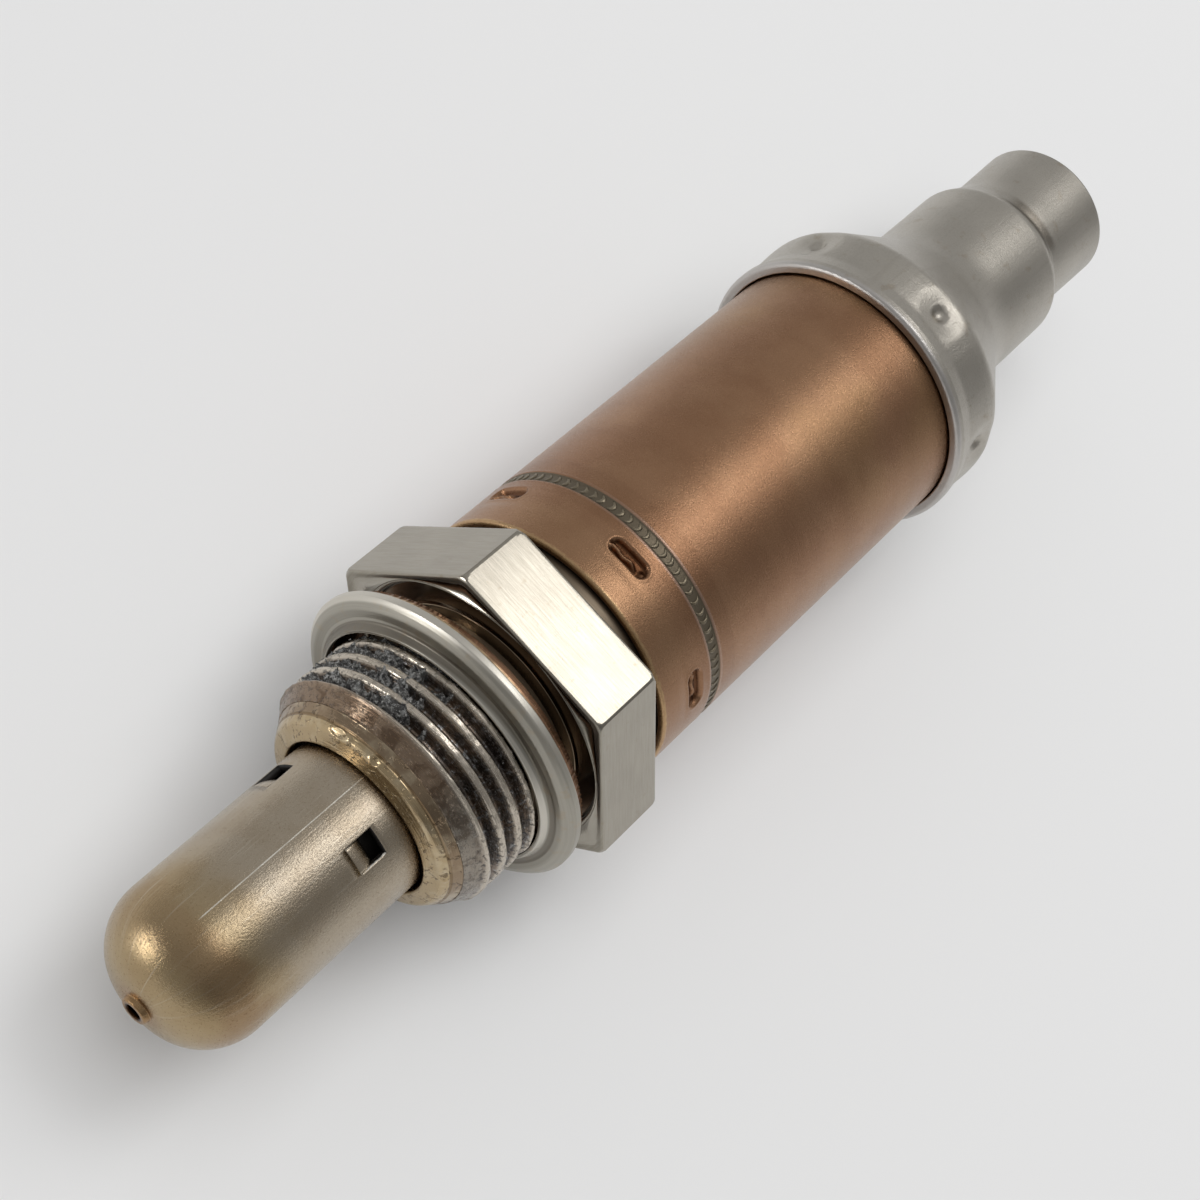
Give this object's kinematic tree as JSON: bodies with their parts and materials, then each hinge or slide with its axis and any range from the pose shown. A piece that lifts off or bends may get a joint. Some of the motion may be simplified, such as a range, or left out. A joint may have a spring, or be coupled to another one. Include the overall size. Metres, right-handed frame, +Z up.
{
  "type": "oxygen sensor",
  "caption": "Heated exhaust oxygen sensor: threaded hexagonal body with captive sealing ring, louvred protection tube, heat-tinted sleeve and crimped end cap.",
  "frame": {"origin": "on the sensor's axis, in the plane where the gasket ring's front face seals", "axes": "+X along the sensor's axis towards the tip of the protection tube, +Z up, square to a flat of the hexagon"},
  "size_m": [0.1011, 0.0252, 0.023],
  "materials": {
    "sensor_body": "satin nickel plate",
    "gasket_ring": "satin",
    "protection_tube": "heat-tinted",
    "zirconia_thimble": "matt ceramic",
    "seat_ring": "plain",
    "contact_bush": "plain",
    "heater_rod": "matt ceramic",
    "heater_terminal_right": "plain",
    "heater_terminal_left": "plain",
    "clamp_ring": "plain",
    "signal_terminal": "plain",
    "ground_terminal": "plain",
    "support_tube": "matt ceramic",
    "disc_spring": "plain",
    "terminal_carrier": "matt ceramic",
    "protective_sleeve": "heat-tinted satin",
    "end_cap": "satin",
    "cable_grommet": "matt"
  },
  "bodies": {
    "root": {"sensor_body": "sensor_body", "gasket_ring": "gasket_ring", "protection_tube": "protection_tube", "zirconia_thimble": "zirconia_thimble", "seat_ring": "seat_ring", "contact_bush": "contact_bush", "heater_rod": "heater_rod", "heater_terminal_right": "heater_terminal_right", "heater_terminal_left": "heater_terminal_left", "clamp_ring": "clamp_ring", "signal_terminal": "signal_terminal", "ground_terminal": "ground_terminal", "support_tube": "support_tube", "disc_spring": "disc_spring", "terminal_carrier": "terminal_carrier", "protective_sleeve": "protective_sleeve", "end_cap": "end_cap", "cable_grommet": "cable_grommet"}
  },
  "joints": []
}
